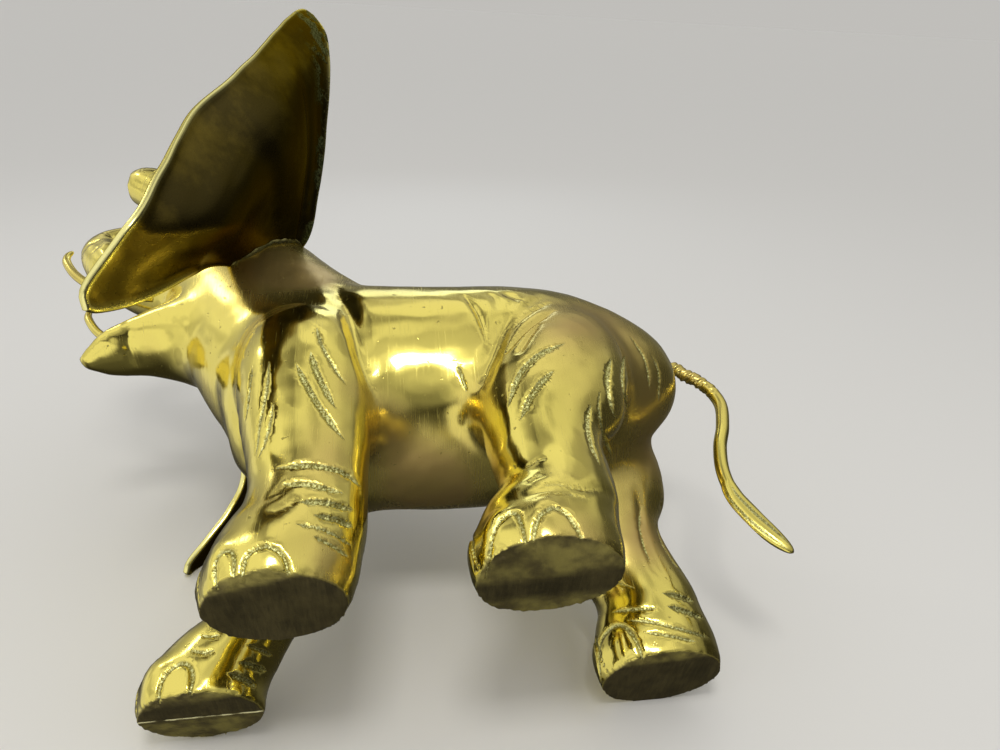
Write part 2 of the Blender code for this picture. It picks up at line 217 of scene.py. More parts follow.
class Wire:
    # One socket of a material. Operators on it add Math nodes.
    def __init__(self, tree, socket=None):
        self.tree = tree
        self.socket = socket

    def make(self, kind, settings=None, sockets=None, output=0):
        node = self.tree.nodes.new(kind)
        for name, value in (settings or {}).items():
            setattr(node, name, value)
        for name, value in (sockets or {}).items():
            if isinstance(value, Wire):
                self.tree.links.new(value.socket, node.inputs[name])
            else:
                node.inputs[name].default_value = value
        return Wire(self.tree, node.outputs[output])

    def sum(self, operation, first, second, clamp=False):
        return self.make("ShaderNodeMath", {"operation": operation, "use_clamp": clamp}, {0: first, 1: second})

    def __add__(self, other):
        return self.sum("ADD", self, other)

    def __sub__(self, other):
        return self.sum("SUBTRACT", self, other)

    def __rsub__(self, other):
        return self.sum("SUBTRACT", other, self)

    def __mul__(self, other):
        return self.sum("MULTIPLY", self, other)

    __radd__ = __add__
    __rmul__ = __mul__

    def held(self):          # kept between 0 and 1
        return self.sum("ADD", self, 0.0, clamp=True)

    def noise(self, scale, detail=3.0, roughness=0.55, distortion=0.0):
        return self.make("ShaderNodeTexNoise", {"noise_dimensions": "3D"},
                         {"Vector": self, "Scale": scale, "Detail": detail, "Roughness": roughness,
                          "Distortion": distortion})

    def stretched(self, turn, scale):      # turned, and scaled so that a noise on it makes streaks
        return self.make("ShaderNodeMapping", {"vector_type": "POINT"},
                         {"Vector": self, "Rotation": turn, "Scale": scale})

    def mark(self, name):          # a number that the mesh carries
        return self.make("ShaderNodeAttribute", {"attribute_name": name}, output=2)

    def band(self, low, high):     # 0 below low, 1 above high, smooth between
        return self.make("ShaderNodeMapRange", {"clamp": True, "interpolation_type": "SMOOTHSTEP"},
                         {"Value": self, "From Min": low, "From Max": high, "To Min": 0.0, "To Max": 1.0})

    def towards(self, direction):      # dot product with a direction
        return self.make("ShaderNodeVectorMath", {"operation": "DOT_PRODUCT"}, {0: self, 1: direction}, 1)

    def tint(self, first, second):     # a colour between two, by this wire
        return self.make("ShaderNodeMix", {"data_type": "RGBA"}, {0: self, 6: first, 7: second}, 2)


def startMaterial(name):
    material = bpy.data.materials.new(name)
    material.use_nodes = True
    shader = material.node_tree.nodes["Principled BSDF"]
    wire = Wire(material.node_tree)
    place = wire.make("ShaderNodeTexCoord", output=3)
    return material, shader, wire, place


def connect(wire, socket):
    wire.tree.links.new(wire.socket, socket)


brass = {
    "gold": (0.82, 0.70, 0.17, 1.0),
    "bronze": (0.53, 0.385, 0.13, 1.0),       # where it is satin
    "grit": (0.72, 0.72, 0.33, 1.0),          # the pale, greenish bottoms of the cuts
    "gritShade": (0.27, 0.23, 0.055, 1.0),
    "filedMetal": (0.135, 0.108, 0.038, 1.0),
    "filedShade": (0.062, 0.050, 0.017, 1.0),
    # olive of the filed bevels, made lighter as a painted sheen that stands for the facets' tilt
    "bevelTintAndSheen": (0.44, 0.375, 0.10, 1.0),
    # painted highlight along the ridge across the right fore sole
    "ridgeHighlight": (0.95, 0.90, 0.50, 1.0),
    "polish": 0.125,                          # roughness of the polished metal, then of the satin
    "satin": 0.35,
    "rougher": {"mottle": 0.10, "scratch": 0.16, "cut": 0.42, "filed": 0.34, "pit": 0.2},
    "lessMetal": {"filed": 0.35, "ridgeHighlight": 0.6, "satin": 0.12},
    "patchSize": 14.0,                        # noise scales, per metre
    "mottleSize": 90.0,
    "pitSize": 330.0,
    "grainSize": 1300.0,
    "brushed": ((0.0, 0.3, 0.0), (90.0, 900.0, 90.0)),       # turn and scale of streaks
    "scratches": ((0.9, 0.3, 0.5), (60.0, 2400.0, 60.0)),
    "fileMarks": ((0.0, 0.0, 0.35), (90.0, 620.0, 200.0)),
    "trunkRings": 34.0,                       # radians a module along the trunk
    "dentDepth": 0.00035,
    "dents": {"mottle": 0.12, "brushed": 0.05, "scratch": 0.03, "cut": 1.2, "fileMark": 0.6, "grain": 0.4,
              "pit": 0.3, "ring": 1.1},
}


def polishedBrass():
    # Gold where it is buffed, duller bronze in patches, gritty in the cuts and brown where it is filed, with a
    # painted sheen on the tilted sole facets and a painted highlight along one sole ridge
    material, shader, wire, place = startMaterial("polishedBrass")
    cut, filed, dull, bevel, ridgeGlint, trunkWay = (
        wire.mark(name) for name in ("cut", "filed", "dull", "bevel", "ridgeGlint", "alongTrunk"))
    patches = place.noise(brass["patchSize"], 3.0, 0.5, 0.3)
    mottle = place.noise(brass["mottleSize"], 3.0, 0.55)
    grain = place.noise(brass["grainSize"], 2.0, 0.6)
    brushed = place.stretched(*brass["brushed"]).noise(1.0, 2.0, 0.5)
    pits = place.noise(brass["pitSize"], 2.0, 0.5).band(0.70, 0.75)
    scratches = place.stretched(*brass["scratches"]).noise(1.0, 3.0, 0.6, 0.4).band(0.56, 0.72)
    fileMarks = place.stretched(*brass["fileMarks"]).noise(1.0, 4.0, 0.65, 0.8)
    satin = ((patches - 0.52) * 2.0 + dull).held()
    rings = wire.sum("SINE", (trunkWay + (patches - 0.5) * 0.35) * brass["trunkRings"], 0.0).band(0.55, 1.0)
    rings = rings * trunkWay.band(0.5, 1.0) * place.noise(40.0, 2.0).band(0.40, 0.60)

    colour = satin.tint(brass["gold"], brass["bronze"])
    colour = (pits * 0.6).tint(colour, brass["gritShade"])
    gritty = grain.band(0.40, 0.62).tint(brass["gritShade"], brass["grit"])
    colour = cut.band(0.25, 0.7).tint(colour, gritty)
    filedTone = (fileMarks * 0.5 + place.noise(60.0, 4.0, 0.6) * 0.7).band(0.42, 0.78)
    filedColour = filedTone.tint(brass["filedShade"], brass["filedMetal"])
    # the tilted sole facets get the lighter bevel colour: partly olive filing, partly painted sheen
    bevelAndSheenColour = mottle.band(0.3, 0.7).tint(brass["filedMetal"], brass["bevelTintAndSheen"])
    filedColour = (bevel * 0.8).tint(filedColour, bevelAndSheenColour)
    # painted highlight: a bright, less metallic line along the sole's ridge
    filedColour = ridgeGlint.band(0.25, 0.75).tint(filedColour, brass["ridgeHighlight"])
    connect(filed.tint(colour, filedColour), shader.inputs["Base Color"])

    rougher, lessMetal, dents = brass["rougher"], brass["lessMetal"], brass["dents"]
    rough = satin * (brass["satin"] - brass["polish"]) + brass["polish"] + (mottle - 0.5) * rougher["mottle"]
    rough = rough + scratches * rougher["scratch"] + cut * rougher["cut"]
    rough = rough + filed * rougher["filed"] + pits * rougher["pit"]
    connect(rough.held(), shader.inputs["Roughness"])
    metal = 1.0 - filed * lessMetal["filed"] - ridgeGlint * lessMetal["ridgeHighlight"] - satin * lessMetal["satin"]
    connect(metal.held(), shader.inputs["Metallic"])
    height = mottle * dents["mottle"] + brushed * dents["brushed"] + scratches * dents["scratch"]
    height = height + cut * grain * dents["cut"]
    height = height + filed * (fileMarks * dents["fileMark"] + grain * dents["grain"])
    height = height - pits * dents["pit"] - rings * dents["ring"]
    bump = wire.make("ShaderNodeBump", None,
                     {"Strength": 0.6, "Distance": brass["dentDepth"], "Height": height})
    connect(bump, shader.inputs["Normal"])
    return material


darkBrass = {
    # partly patina, partly a painted dark reflection of the surroundings
    "patinaAndDarkReflection": (0.075, 0.058, 0.018, 1.0),
    "worn": (0.25, 0.185, 0.036, 1.0),
    "edge": (0.88, 0.82, 0.34, 1.0),
    "crust": (0.17, 0.19, 0.085, 1.0),        # greenish scale along the rear edge
    "crustShade": (0.05, 0.055, 0.02, 1.0),
    "grazing": (0.62, 0.50, 0.20, 1.0),       # what it mirrors at a low angle
    "polish": 0.30,
    "rougher": {"speckle": 0.16, "edge": 0.08, "crust": 0.3},
    "cloudSize": 16.0,                        # noise scales, per metre
    "mottleSize": 120.0,
    "speckleSize": 900.0,
    "crustSize": 75.0,
    "dentDepth": 0.0003,
    "dents": {"speckle": 0.25, "mottle": 0.3, "crust": 1.5},
}


def patinaAndReflectionBrass():
    # Almost black brown, partly patina and partly a painted dark reflection, with gold shining through, and a
    # bright polished edge
    material, shader, wire, place = startMaterial("patinaAndReflectionBrass")
    edge, rear = wire.mark("edge"), wire.mark("rear")
    clouds = place.noise(darkBrass["cloudSize"], 4.0, 0.5, 0.4)
    mottle = place.noise(darkBrass["mottleSize"], 3.0, 0.6)
    speckle = place.noise(darkBrass["speckleSize"], 2.0, 0.6)
    worn = ((clouds - 0.45) * 2.4 + (mottle - 0.5) * 0.8).held()
    crust = (rear * place.noise(darkBrass["crustSize"], 3.0, 0.6).band(0.50, 0.58)).held()
    # the dark base tone is partly patina and partly a painted dark reflection
    colour = worn.tint(darkBrass["patinaAndDarkReflection"], darkBrass["worn"])
    colour = edge.tint(colour, darkBrass["edge"])
    colour = crust.tint(colour, speckle.band(0.4, 0.6).tint(darkBrass["crustShade"], darkBrass["crust"]))
    connect(colour, shader.inputs["Base Color"])
    shader.inputs["Metallic"].default_value = 1.0
    shader.inputs["Specular Tint"].default_value = darkBrass["grazing"]
    rougher, dents = darkBrass["rougher"], darkBrass["dents"]
    rough = darkBrass["polish"] + (speckle - 0.5) * rougher["speckle"]
    rough = rough - edge * rougher["edge"] + crust * rougher["crust"]
    connect(rough.held(), shader.inputs["Roughness"])
    height = speckle * dents["speckle"] + mottle * dents["mottle"] + crust * dents["crust"]
    bump = wire.make("ShaderNodeBump", None,
                     {"Strength": 0.5, "Distance": darkBrass["dentDepth"], "Height": height})
    connect(bump, shader.inputs["Normal"])
    return material


# Swept forms: x, y and z of the axis, half width along X, half depth across the axis
casting = {
    "voxel": 0.044,
    "ringPoints": 72,
    "filletRounds": 46,                 # of filling creases, each by this share
    "fill": 0.6,
    "rubbing": (0.16, 0.05, 14),        # share that ridges lose, at first and after so many rounds
    "thinPast": (-2.75, 5.2),           # beyond this Y or height the lip and trunk are rubbed evenly
    "thinRubbing": (0.4, 6),            # share and rounds there
    "foreStance": (0.788, 0.74),        # sideways, at the sole and at the shoulder
    "hindStance": (0.885, 0.72),
    "torso": [
        (0, -1.80, 2.55, 0.40, 0.45), (0, -1.60, 2.60, 0.72, 0.83), (0, -1.22, 2.72, 1.00, 1.11),
        (0, -0.80, 2.78, 1.09, 1.16), (0, -0.20, 2.75, 1.12, 1.13), (0, 0.40, 2.71, 1.13, 1.12),
        (0, 1.00, 2.72, 1.12, 1.10), (0, 1.50, 2.76, 1.04, 1.01), (0, 1.95, 2.77, 0.88, 0.85),
        (0, 2.30, 2.79, 0.70, 0.67), (0, 2.58, 2.81, 0.48, 0.45), (0, 2.74, 2.83, 0.22, 0.22)],
    "neck": [
        (0, -0.70, 2.78, 0.98, 1.03), (0, -1.07, 3.30, 0.94, 1.06), (0, -1.36, 3.73, 0.88, 1.00),
        (0, -1.61, 4.17, 0.81, 0.93), (0, -1.84, 4.60, 0.76, 0.85), (0, -2.02, 5.00, 0.66, 0.70),
        (0, -2.13, 5.35, 0.44, 0.46), (0, -2.16, 5.50, 0.22, 0.24)],
    "jaw": [
        (0, -1.60, 3.80, 0.66, 0.66), (0, -2.05, 3.74, 0.62, 0.57), (0, -2.45, 3.71, 0.50, 0.33),
        (0, -2.80, 3.65, 0.38, 0.19), (0, -3.08, 3.55, 0.30, 0.12), (0, -3.33, 3.44, 0.08, 0.05)],
    "trunk": [
        (0, -1.95, 4.70, 0.66, 0.70), (0, -2.50, 4.74, 0.55, 0.54), (0, -2.95, 4.85, 0.45, 0.41),
        (0, -3.28, 5.05, 0.36, 0.33), (0, -3.47, 5.31, 0.26, 0.29), (0, -3.40, 5.46, 0.24, 0.26),
        (0, -3.13, 5.51, 0.27, 0.24), (0, -2.92, 5.72, 0.26, 0.24), (0, -2.88, 6.10, 0.26, 0.24),
        (0, -2.95, 6.46, 0.28, 0.27), (0, -3.10, 6.73, 0.30, 0.29), (0, -3.31, 6.86, 0.29, 0.26),
        (0, -3.49, 6.91, 0.22, 0.18)],
    "foreLeg": [        # height, front and back from the sole's middle, half width
        (0.0, -0.51, 0.50, 0.44), (0.20, -0.525, 0.55, 0.455), (0.42, -0.46, 0.60, 0.445),
        (0.67, -0.34, 0.635, 0.41), (0.95, -0.29, 0.64, 0.39), (1.15, -0.30, 0.64, 0.40),
        (1.45, -0.36, 0.66, 0.44), (1.85, -0.45, 0.70, 0.49), (2.30, -0.52, 0.75, 0.52),
        (2.75, -0.48, 0.66, 0.44), (3.10, -0.20, 0.40, 0.26)],
    "hindLeg": [
        (0.0, -0.54, 0.545, 0.462), (0.13, -0.53, 0.59, 0.47), (0.38, -0.45, 0.64, 0.46),
        (0.55, -0.33, 0.66, 0.44), (0.70, -0.24, 0.68, 0.42), (0.95, -0.23, 0.68, 0.40),
        (1.20, -0.27, 0.69, 0.42), (1.45, -0.32, 0.77, 0.46), (1.77, -0.36, 0.98, 0.50),
        (2.24, -0.15, 1.18, 0.51), (2.65, 0.12, 1.15, 0.42), (3.00, 0.42, 0.90, 0.22)],
    # limb: side, sole's middle along the body, lean back to the hip, heights it leans between, bend
    "limbs": {
        "foreLeft": ("foreLeg", 1, -1.039, 0.0, (0.05, 1.75), 1.0),
        "foreRight": ("foreLeg", -1, -1.811, -0.77, (0.05, 1.75), 1.0),
        "hindLeft": ("hindLeg", 1, 0.839, 0.0, (0.20, 2.20), 0.0),
        "hindRight": ("hindLeg", -1, 2.04, 0.60, (0.20, 2.20), 0.0),
    },
    "slimmed": {"foreRight": (0.10, 0.27)},      # off the front and the back, fully above the heel
    "heelHeight": 0.85,
    "nailBearings": (88, 45, 0, -45),       # degrees round the foot from its front, outwards
    "nailSize": (0.15, 0.06, 0.21),
    "nailHeight": 0.20,
    "feet": {"foreLeg": (0.49, 0.43), "hindLeg": (0.50, 0.445)},
    "castingWobble": 0.10,                  # millimetres
    # where a limb runs into the belly: limb pair, middle on the left side, radius
    "softened": [("hind", (0.84, 0.57, 1.74), 0.42), ("hind", (0.90, 0.62, 1.35), 0.25),
                 ("fore", (0.60, -0.27, 1.74), 0.36)],
    "softRounds": 60,
}


def leanAt(limb, height):
    # How far along the body a limb has leaned at a height, and how far in it has come
    profile, side, sole, lean, (low, high), bend = casting["limbs"][limb]
    rise = np.clip((height - low) / (high - low), 0, 1)
    rise = rise + bend * (rise * rise * (3 - 2 * rise) - rise)
    track, hipTrack = casting["foreStance" if profile == "foreLeg" else "hindStance"]
    return sole - lean * rise, side * (track + (hipTrack - track) * rise)


def limbShell(limb):
    # The leg's profile stands over its sole; its first ring lies flat on the ground
    profile = np.array(casting[casting["limbs"][limb][0]])
    height, front, back, halfWidth = profile.T
    offFront, offBack = casting["slimmed"].get(limb, (0.0, 0.0))
    thinning = np.clip(height / casting["heelHeight"], 0, 1)
    front, back = front + offFront * thinning, back - offBack * thinning
    middle, sideways = leanAt(limb, height)
    rows = np.column_stack([sideways, middle + (front + back) / 2, height, halfWidth, (back - front) / 2])
    rings = ovalRings(smoothRows(rows, 6), casting["ringPoints"])
    rings[0, :, 2] = 0
    rings[:, :, 2] = np.maximum(rings[:, :, 2], 0)
    return closedRings(rings)


def nailShells(limb):
    # Each nail is an ellipsoid set round the foot: middle + across * t + outwards * n + upwards * z
    profile, side, sole = casting["limbs"][limb][:3]
    halfLength, halfWidth = casting["feet"][profile]
    track = casting["foreStance" if profile == "foreLeg" else "hindStance"][0]
    tilt = np.linspace(0.08, np.pi - 0.08, 14)[:, None]
    turn = np.linspace(0, 2 * np.pi, 20, endpoint=False)[None]
    ball = (np.sin(tilt) * np.cos(turn), np.sin(tilt) * np.sin(turn), np.cos(tilt) + 0 * turn)
    across, outwards, upwards = (size * share for size, share in zip(casting["nailSize"], ball))
    shells = []
    for bearing in np.radians(casting["nailBearings"]):
        x = halfWidth * np.sin(bearing) + across * np.cos(bearing) + outwards * np.sin(bearing)
        y = halfLength * np.cos(bearing) - across * np.sin(bearing) + outwards * np.cos(bearing)
        height = np.maximum(casting["nailHeight"] + upwards, 0.01)
        shells.append(closedRings(np.stack([side * (track + x), sole - y, height], axis=-1)))
    return shells


def meltedForm():
    # All the forms as one skin, through a voxel remesh
    shells = [closedRings(ovalRings(smoothRows(casting[form], 6), casting["ringPoints"]))
              for form in ("torso", "neck", "jaw", "trunk")]
    for limb in casting["limbs"]:
        shells.append(limbShell(limb))
        shells.extend(nailShells(limb))
    verts, triangles = joinedShells([(verts, outward(verts, triangles)) for verts, triangles in shells])
    mesh = bpy.data.meshes.new("roughForm")
    mesh.from_pydata(verts, [], triangles)
    rough = bpy.data.objects.new("roughForm", mesh)
    bpy.context.scene.collection.objects.link(rough)
    melt = rough.modifiers.new("melt", "REMESH")
    melt.mode = "VOXEL"
    melt.voxel_size = casting["voxel"]
    shown = rough.evaluated_get(bpy.context.evaluated_depsgraph_get())
    melted = shown.to_mesh()
    melted.calc_loop_triangles()
    points = np.empty(3 * len(melted.vertices))
    melted.vertices.foreach_get("co", points)
    corners = np.empty(3 * len(melted.loop_triangles), dtype=np.int32)
    melted.loop_triangles.foreach_get("vertices", corners)
    shown.to_mesh_clear()
    bpy.data.objects.remove(rough)
    bpy.data.meshes.remove(mesh)
    return points.reshape(-1, 3), corners.reshape(-1, 3).astype(np.int64)


def settledForm(verts, triangles):
    # Creases fill up and ridges stay: a vertex moves towards its neighbours' mean, further where that
    # lies outside the skin
    pairs, _ = edgePairs(triangles, len(verts))
    thin = (verts[:, 1] < casting["thinPast"][0]) | (verts[:, 2] > casting["thinPast"][1])
    atSole = verts[:, 2] < 0.03
    rubbed, rubbedLater, firstRounds = casting["rubbing"]
    thinRubbed, thinRounds = casting["thinRubbing"]
    for step in range(casting["filletRounds"]):
        pull = neighbourMean(verts, pairs) - verts
        hollow = np.einsum("ij,ij->i", pull, surfaceNormals(verts, triangles)) > 0
        share = np.where(hollow, casting["fill"], rubbed if step < firstRounds else rubbedLater)
        share[thin] = thinRubbed if step < thinRounds else 0.0
        verts = verts + pull * share[:, None]
        verts[atSole, 2] = np.minimum(verts[atSole, 2], 0.02)
    soft = np.zeros(len(verts))
    for pair, middle, radius in casting["softened"]:
        apart = leanAt(pair + "Right", middle[2])[0] - leanAt(pair + "Left", middle[2])[0]
        for place in (np.array(middle), np.array(middle) * (-1, 1, 1) + (0, apart, 0)):
            soft = np.maximum(soft, 1 - ((verts - place) ** 2).sum(axis=1) / radius ** 2)
    for _ in range(casting["softRounds"]):
        verts = verts + (0.6 * soft)[:, None] * (neighbourMean(verts, pairs) - verts)
    return verts


# What is cut, folded and dulled on the casting's skin
carving = {
    # style: half width and depth in millimetres, and grit in it. One without grit is a soft fold.
    "styles": {
        "cut": (1.65, 1.65, 1.0),
        "fine": (1.00, 0.95, 0.8),
        "hair": (0.62, 0.50, 0.5),
        "nail": (1.40, 1.30, 0.7),
        "fold": (2.5, 1.2, 0.0),
        "crease": (4.6, 3.4, 0.0),
        "wrinkle": (2.0, 0.8, 0.0),
        "seam": (1.5, 1.5, 0.0),
        "channel": (5.0, 2.2, 0.0),
    },
    # strokes by pixel of the photograph: (style, limb that carries it or None, points)
    "strokes": [
        # left shoulder and fore leg
        ("cut", "fore", [(296, 363), (306, 384), (322, 410), (344, 439)]),
        ("cut", "fore", [(310, 350), (316, 370), (326, 390), (336, 408)]),
        ("fine", "fore", [(316, 325), (322, 345), (334, 366), (347, 386)]),
        ("fine", None, [(269, 360), (266, 390), (259, 425), (256, 457)]),
        ("fine", None, [(252, 366), (249, 390), (245, 422)]),
        ("fine", None, [(273, 403), (268, 430), (258, 459)]),
        ("cut", "fore", [(277, 468), (303, 465), (325, 467), (345, 473), (361, 487)]),
        ("cut", "fore", [(281, 483), (310, 484), (343, 493)]),
        ("cut", "fore", [(298, 501), (326, 502), (353, 510)]),
        ("cut", "fore", [(315, 515), (336, 519), (353, 527)]),
        ("fine", "fore", [(294, 523), (325, 530), (353, 546)]),
        ("fine", "fore", [(311, 535), (330, 544), (349, 557)]),
        # left hind leg, thigh and rump
        ("cut", "hind", [(565, 343), (542, 352), (524, 367), (514, 386), (508, 406)]),
        ("cut", "hind", [(554, 370), (541, 382), (530, 398), (520, 420)]),
        ("seam", "hind", [(551, 302), (532, 310), (514, 325), (494, 353)]),
        ("seam", "hind", [(556, 310), (539, 319), (522, 333), (501, 357)]),
        ("seam", "hind", [(541, 322), (530, 334), (517, 355)]),
        ("hair", "hind", [(525, 468), (537, 461), (549, 457)]),
        ("hair", "hind", [(524, 485), (537, 477), (549, 473)]),
        ("cut", "hind", [(611, 359), (608, 378), (610, 398), (615, 417)]),
        ("cut", "hind", [(625, 356), (623, 372), (624, 390), (628, 409)]),
        ("cut", "hind", [(600, 391), (599, 408), (604, 435), (613, 457)]),
        ("cut", "hind", [(591, 404), (588, 423), (592, 445), (600, 465)]),
        ("fine", "hind", [(629, 335), (642, 353), (648, 370), (650, 391)]),
        ("fine", "hind", [(651, 354), (659, 372), (659, 402)]),
        ("hair", "hind", [(535, 486), (560, 484), (596, 491)]),
        ("hair", "hind", [(547, 493), (570, 494), (591, 500)]),
        ("wrinkle", "hind", [(521, 500), (545, 490), (590, 488), (612, 494)]),
        ("wrinkle", "fore", [(262, 500), (278, 492), (290, 478)]),
        ("wrinkle", "fore", [(266, 515), (282, 507), (300, 496)]),
        # flank and back
        ("crease", "hind", [(514, 310), (502, 328), (494, 347), (485, 367), (481, 384), (479, 396)]),
        ("seam", "hind", [(463, 294), (475, 308), (482, 324), (487, 343), (487, 359), (480, 386)]),
        ("seam", None, [(338, 286), (350, 306), (359, 333), (367, 362), (373, 388), (380, 416)]),
        ("fine", "hind", [(458, 364), (462, 377), (467, 393)]),
        ("crease", None, [(334, 284), (350, 312), (360, 345), (370, 380), (379, 410)]),
        ("fold", None, [(345, 290), (352, 300), (358, 318)]),
        ("fold", "hind", [(505, 292), (514, 297), (522, 300)]),
        # lower lip, trunk bend and trunk tip
        ("fold", None, [(127, 316), (129, 340), (133, 368)]),
        ("channel", None, [(99, 254), (108, 247), (120, 240), (134, 233)]),
        ("wrinkle", None, [(92, 240), (98, 244), (105, 250)]),
        ("wrinkle", None, [(89, 246), (95, 251), (101, 258)]),
        ("wrinkle", None, [(131, 180), (140, 184), (150, 189)]),
        # folds over the back, behind the shoulder and before the thigh
        ("wrinkle", None, [(352, 286), (352, 296), (358, 306)]),
        ("wrinkle", "hind", [(488, 292), (496, 300), (500, 314)]),
        ("wrinkle", "hind", [(520, 292), (512, 304), (503, 322)]),
        ("fold", "hind", [(546, 296), (530, 304), (514, 322), (500, 340)]),
        # right hind leg, inner side
        ("cut", None, [(663, 593), (680, 596), (694, 601)]),
        ("cut", None, [(667, 606), (686, 611), (703, 618)]),
        ("fine", None, [(627, 620), (650, 622), (685, 630), (711, 638)]),
        ("fine", None, [(643, 632), (670, 636), (698, 642)]),
        ("fine", None, [(612, 612), (638, 609), (660, 608)]),
        ("fine", None, [(615, 582), (628, 586), (639, 589)]),
        ("fold", None, [(636, 481), (641, 508), (644, 534), (653, 564), (668, 584)]),
        ("fine", None, [(642, 505), (641, 525), (645, 545), (651, 560)]),
        ("fine", None, [(655, 520), (661, 540), (672, 560), (684, 574)]),
        ("fold", None, [(662, 500), (668, 530), (680, 560), (696, 585)]),
        # right fore leg, inner side
        ("cut", None, [(239, 663), (253, 666), (267, 671)]),
        ("cut", None, [(227, 673), (243, 679), (257, 687)]),
        ("fine", None, [(246, 645), (260, 650), (273, 656)]),
        ("fine", None, [(201, 635), (210, 636), (220, 634)]),
        ("fine", None, [(190, 650), (202, 652), (215, 650)]),
    ],
    "nailArches": {
        "foreLeft": [[(216, 590), (213, 570), (217, 556), (226, 550), (233, 556), (233, 578)],
                     [(242, 584), (243, 565), (248, 554), (262, 546), (276, 549), (286, 561), (289, 580)]],
        "hindLeft": [[(484, 580), (488, 556), (493, 532), (501, 518), (514, 512), (521, 524), (526, 545)],
                     [(533, 545), (535, 528), (541, 514), (554, 507), (567, 513), (577, 527), (585, 545)]],
        "hindRight": [[(600, 678), (598, 655), (602, 637), (614, 626), (627, 628), (638, 645), (643, 662)]],
        "foreRight": [[(157, 708), (160, 684), (170, 669), (184, 663), (192, 673), (189, 700)]],
    },
    # satin: pixel, radius in modules, strength
    "satin": [
        ((282, 264), 0.55, 1.3), ((310, 278), 0.30, 0.8), ((600, 318), 0.55, 0.9), ((645, 395), 0.50, 0.8),
        ((556, 330), 0.35, 0.5), ((330, 565), 0.22, 0.6), ((592, 545), 0.28, 0.8), ((650, 540), 0.35, 0.7),
        ((150, 345), 0.22, 0.4), ((480, 414), 0.36, 0.6), ((386, 430), 0.26, 0.6), ((430, 478), 0.50, 0.8),
        ((362, 395), 0.20, 0.4), ((335, 460), 0.22, 0.4)],
    "eye": {"place": (0.60, -2.35, 4.78), "half": (0.115, 0.075), "bulge": (0.085, 0.9)},
    "nostril": ((0.10, -3.75, 6.84), (0.08, -3.75, 6.94)),      # both ends, before the trunk's tip
    "hiddenNails": {        # bearings of the nails that the photograph doesn't show
        "foreLeft": (0, -45), "hindLeft": (0, -45), "foreRight": (88, 45, 0), "hindRight": (88, 45, 0)},
    "arch": (0.17, 0.03, 0.40, 0.08),       # half width, foot, rise, how far off the foot it starts
    "strokeStep": 0.010,
    "refineReach": 1.5,      # half widths
    "refineBelow": 1.95,     # millimetres of half width
    "refineRounds": (1.0, 0.62),      # each round's share of the reach
    "ragged": (0.07, 0.12),  # unevenness of a cut's edges and of its depth
}


def photoRays(pixels):
    # From the photograph's camera through pixels: turn . (u, v, -1)
    focal = photoCamera["lens"] / 36 * photoCamera["frameSize"][0]
    across = (pixels[:, 0] - photoCamera["frameSize"][0] / 2) / focal
    down = (pixels[:, 1] - photoCamera["frameSize"][1] / 2) / focal
    turn = np.array(Euler([math.radians(angle) for angle in photoCamera["turn"]]).to_matrix())
    rays = np.stack([across, -down, -np.ones(len(pixels))], axis=1) @ turn.T
    return rays / np.linalg.norm(rays, axis=1, keepdims=True)


def strokeOnSkin(tree, pixels):
    # The stroke's pixels, cast onto the skin, and cut there into short equal steps
    eye = Vector(photoCamera["place"])
    hits = [tree.ray_cast(eye, Vector(ray))[0] for ray in photoRays(smoothRows(pixels, 12))]
    points = np.array([hit[:] for hit in hits if hit is not None])
    travelled = np.concatenate([[0], np.cumsum(np.linalg.norm(np.diff(points, axis=0), axis=1))])
    places = np.linspace(0, travelled[-1], 2 + int(travelled[-1] / carving["strokeStep"]))
    return np.stack([np.interp(places, travelled, column) for column in points.T], axis=1)


def onSkin(tree, points):
    return np.array([tree.find_nearest(Vector(point))[0][:] for point in points])


def mirroredStroke(tree, points, limb):
    # The same stroke on the other side, moved along with the other leg's stance
    twin = points * (-1, 1, 1)
    if limb:
        twin[:, 1] += leanAt(limb + "Right", points[:, 2])[0] - leanAt(limb + "Left", points[:, 2])[0]
    return onSkin(tree, twin)


def nailArch(tree, limb, bearing):
    # An arch round a nail: across = half * cos(t), height = low + rise * sin(t)^0.8, laid on the foot
    profile, side, sole = casting["limbs"][limb][:3]
    halfLength, halfWidth = casting["feet"][profile]
    track = casting["foreStance" if profile == "foreLeg" else "hindStance"][0]
    half, low, rise, off = carving["arch"]
    t, b = np.linspace(0, np.pi, 30), math.radians(bearing)
    across, height = half * np.cos(t), low + rise * np.sin(t) ** 0.8
    x = (halfWidth + off) * np.sin(b) + across * np.cos(b)
    y = (halfLength + off) * np.cos(b) - across * np.sin(b)
    return onSkin(tree, np.stack([side * (track + x), sole - y, height], axis=1))


def eyeLoops(tree, side):
    # The lids meet in a pointed oval: (cos t, sin t |sin t|^0.3), and a fold runs over the upper lid
    t = np.linspace(0, 2 * np.pi, 60)
    middle, (halfLong, halfHigh) = np.array(carving["eye"]["place"]) * (side, 1, 1), carving["eye"]["half"]
    oval = np.stack([0 * t, halfLong * np.cos(t), halfHigh * np.sin(t) * np.abs(np.sin(t)) ** 0.3], axis=1)
    over = oval[:31] * (1, 1.4, 1.7) + (0, 0, 0.02)
    return onSkin(tree, middle + oval), onSkin(tree, middle + over)


def satinPatches(tree, verts):
    # Sum of strength * exp(-(distance / radius)^2) round each patch, on both sides of the body
    dull = np.zeros(len(verts))
    for pixel, radius, strength in carving["satin"]:
        middle = strokeOnSkin(tree, [pixel, pixel])[0]
        for side in (1, -1):
            dull += strength * np.exp(-(((verts - middle * (side, 1, 1)) / radius) ** 2).sum(axis=1))
    return np.clip(dull, 0, 1)


